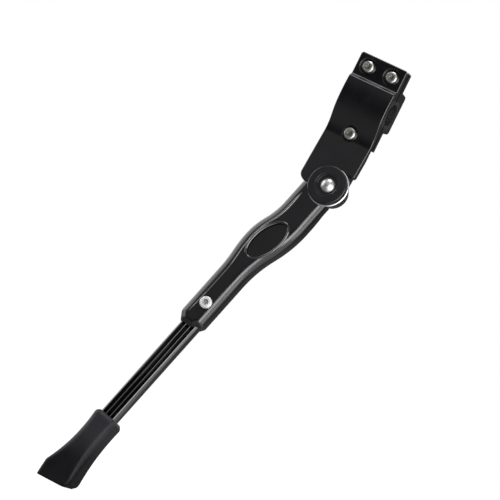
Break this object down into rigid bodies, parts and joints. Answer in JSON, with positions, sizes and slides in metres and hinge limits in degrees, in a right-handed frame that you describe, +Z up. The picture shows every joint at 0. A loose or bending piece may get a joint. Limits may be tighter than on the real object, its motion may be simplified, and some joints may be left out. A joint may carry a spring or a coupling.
{
  "type": "bicycle kickstand",
  "caption": "Rear-mount bicycle kickstand: a split clamp on the chainstay carries a hinged, folding leg whose lower bar slides to set the height and ends in a rubber foot.",
  "frame": {"origin": "middle of the chainstay clamp, on the axis of the tube it holds", "axes": "+X along the chainstay to the rear, -Y outward from the bicycle, +Z up"},
  "size_m": [0.0972, 0.0767, 0.3655],
  "materials": {
    "cast_black": "satin black paint on cast aluminium",
    "bar_black": "gloss black anodised bar",
    "bright_steel": "bright zinc",
    "liner_rubber": "matt",
    "foot_rubber": "matt moulded rubber",
    "washer_plastic": "matt"
  },
  "bodies": {
    "base": {"bracket": "cast_black", "clamp_plate": "cast_black", "front_pad": "liner_rubber", "rear_pad": "liner_rubber", "clamp_bolts": "bright_steel", "clamp_washers": "bright_steel", "clamp_nuts": "bright_steel", "hinge_cap": "cast_black", "pivot_bolt": "bright_steel", "cam_collar": "bright_steel", "thrust_washer": "washer_plastic", "pivot_washer": "bright_steel", "pivot_nut": "bright_steel"},
    "leg": {"upper_leg": "cast_black", "detent_ball": "bright_steel", "detent_spring": "bright_steel", "adjusting_screw": "bright_steel"},
    "lower": {"lower_leg": "bar_black", "rubber_foot": "foot_rubber"}
  },
  "joints": [
    {"name": "fold", "type": "hinge", "parent": "base", "child": "leg", "pos_m": [0.0056, -0.01362, -0.0644], "axis": [0, -0.9848, 0.1736], "range_deg": [0, 110.8]},
    {"name": "height", "type": "slide", "parent": "leg", "child": "lower", "axis": [-0.2215, -0.1693, -0.9603], "range_m": [-0.012, 0.02]}
  ]
}
